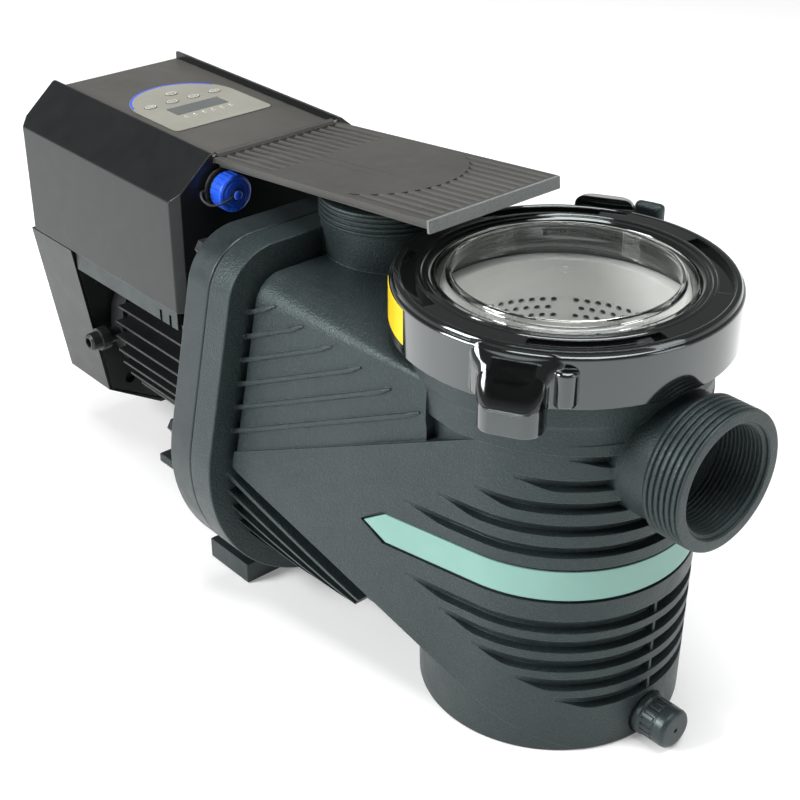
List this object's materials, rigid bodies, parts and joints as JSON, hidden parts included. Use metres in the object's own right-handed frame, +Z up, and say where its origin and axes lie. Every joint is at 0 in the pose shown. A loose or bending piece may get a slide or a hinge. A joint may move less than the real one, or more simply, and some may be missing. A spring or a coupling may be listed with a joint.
{
  "type": "pool pump",
  "caption": "Variable-speed pool pump: strainer pot with clear lid and turning lock ring, ribbed volute, finned motor, controller hood with open display flap.",
  "frame": {"origin": "centre of the strainer pot's flat base, on the floor", "axes": "+X out of the suction port, +Z up, -Y the side with the signal socket"},
  "size_m": [0.5669, 0.256, 0.2883],
  "materials": {
    "grained_black": "fine moulded grain",
    "gloss_black": "polished",
    "satin_black": "satin",
    "warm_grey": "fine grain",
    "teal_band": "satin paint",
    "clear_lid": "clear moulded polycarbonate",
    "basket_white": "moulded",
    "seal_rubber": "matt",
    "cap_blue": "semi-gloss",
    "stainless": "bright",
    "cast_aluminium": "black powder coat",
    "winding_steel": "laminated core and varnished copper",
    "circuit_green": "solder mask",
    "keypad_grey": "membrane overlay",
    "display_grey": "clear window"
  },
  "bodies": {
    "pump": {"pump_body": "grained_black", "seal_plate": "grained_black", "diffuser": "grained_black", "motor_foot": "grained_black", "controller_base": "grained_black", "fan_shroud": "grained_black", "cable_gland": "grained_black", "side_band": "teal_band", "flange_seal": "seal_rubber", "flange_bolt_1": "stainless", "flange_bolt_2": "stainless", "flange_bolt_3": "stainless", "flange_bolt_4": "stainless", "flange_bolt_5": "stainless", "flange_bolt_6": "stainless", "flange_bolt_7": "stainless", "flange_bolt_8": "stainless", "front_bearing": "stainless", "rear_bearing": "stainless", "cover_screw_1": "stainless", "cover_screw_2": "stainless", "cover_screw_3": "stainless", "cover_screw_4": "stainless", "hinge_pin": "stainless", "seal_seat": "basket_white", "motor_housing": "cast_aluminium", "front_bell": "cast_aluminium", "rear_bell": "cast_aluminium", "heat_spreader": "cast_aluminium", "stator": "winding_steel", "hood": "satin_black", "rear_cover": "satin_black", "capacitor_1": "satin_black", "capacitor_2": "satin_black", "connector_socket": "satin_black", "circuit_board": "circuit_green", "keypad_panel": "keypad_grey", "display_window": "display_grey"},
    "rotor": {"shaft": "stainless", "rotor_core": "winding_steel", "impeller": "grained_black", "impeller_nut": "stainless", "seal_rotor": "stainless", "slinger": "seal_rubber", "cooling_fan": "grained_black"},
    "lid": {"lid": "clear_lid", "lid_seal": "seal_rubber"},
    "lock_ring": {"lock_ring": "gloss_black"},
    "basket": {"basket": "basket_white"},
    "drain_travel": {"drain_plug_seal": "seal_rubber"},
    "drain_plug": {"drain_plug": "grained_black"},
    "display_flap": {"display_flap": "warm_grey"},
    "cap_travel": {"cap_button": "cap_blue", "cap_tether": "seal_rubber"},
    "connector_cap": {"connector_cap": "cap_blue"},
    "key_1": {"key_1": "keypad_grey"},
    "key_2": {"key_2": "keypad_grey"},
    "key_3": {"key_3": "keypad_grey"},
    "key_4": {"key_4": "keypad_grey"},
    "key_5": {"key_5": "keypad_grey"}
  },
  "joints": [
    {"name": "rotor_spin", "type": "hinge", "parent": "pump", "child": "rotor", "pos_m": [-0.29, 0, 0.103], "axis": [1, 0, 0], "continuous": true},
    {"name": "lid_lift", "type": "slide", "parent": "pump", "child": "lid", "axis": [0, 0, 1], "range_m": [0, 0.013]},
    {"name": "ring_turn", "type": "hinge", "parent": "lid", "child": "lock_ring", "pos_m": [0, 0, 0.248], "axis": [0, 0, -1], "range_deg": [0, 30]},
    {"name": "basket_lift", "type": "slide", "parent": "pump", "child": "basket", "axis": [0, 0, 1], "range_m": [0, 0.012]},
    {"name": "drain_travel", "type": "slide", "parent": "pump", "child": "drain_travel", "axis": [1, 0, 0], "range_m": [0, 0.014]},
    {"name": "drain_turn", "type": "hinge", "parent": "drain_travel", "child": "drain_plug", "pos_m": [0.08, 0, 0.0132], "axis": [1, 0, 0], "range_deg": [0, 1445]},
    {"name": "flap_hinge", "type": "hinge", "parent": "pump", "child": "display_flap", "pos_m": [-0.2565, 0, 0.266], "axis": [0, -1, 0], "range_deg": [0, 173.7]},
    {"name": "cap_travel", "type": "slide", "parent": "pump", "child": "cap_travel", "axis": [1, 0, 0], "range_m": [0, 0.012], "deforming": ["cap_tether"]},
    {"name": "cap_turn", "type": "hinge", "parent": "cap_travel", "child": "connector_cap", "pos_m": [-0.24, -0.0465, 0.2466], "axis": [1, 0, 0], "range_deg": [0, 1085]},
    {"name": "key_1_press", "type": "slide", "parent": "pump", "child": "key_1", "axis": [0, 0, -1], "range_m": [0, 0.0004], "stiffness_N_per_m": 60},
    {"name": "key_2_press", "type": "slide", "parent": "pump", "child": "key_2", "axis": [0, 0, -1], "range_m": [0, 0.0004], "stiffness_N_per_m": 60},
    {"name": "key_3_press", "type": "slide", "parent": "pump", "child": "key_3", "axis": [0, 0, -1], "range_m": [0, 0.0004], "stiffness_N_per_m": 60},
    {"name": "key_4_press", "type": "slide", "parent": "pump", "child": "key_4", "axis": [0, 0, -1], "range_m": [0, 0.0004], "stiffness_N_per_m": 60},
    {"name": "key_5_press", "type": "slide", "parent": "pump", "child": "key_5", "axis": [0, 0, -1], "range_m": [0, 0.0004], "stiffness_N_per_m": 60}
  ],
  "couplings": [
    {"joint": "basket_lift", "follows": "lid_lift", "ratio": 0.8},
    {"joint": "drain_turn", "follows": "drain_travel", "rad_per_m": 1795.2},
    {"joint": "cap_turn", "follows": "cap_travel", "rad_per_m": 1570.8}
  ]
}
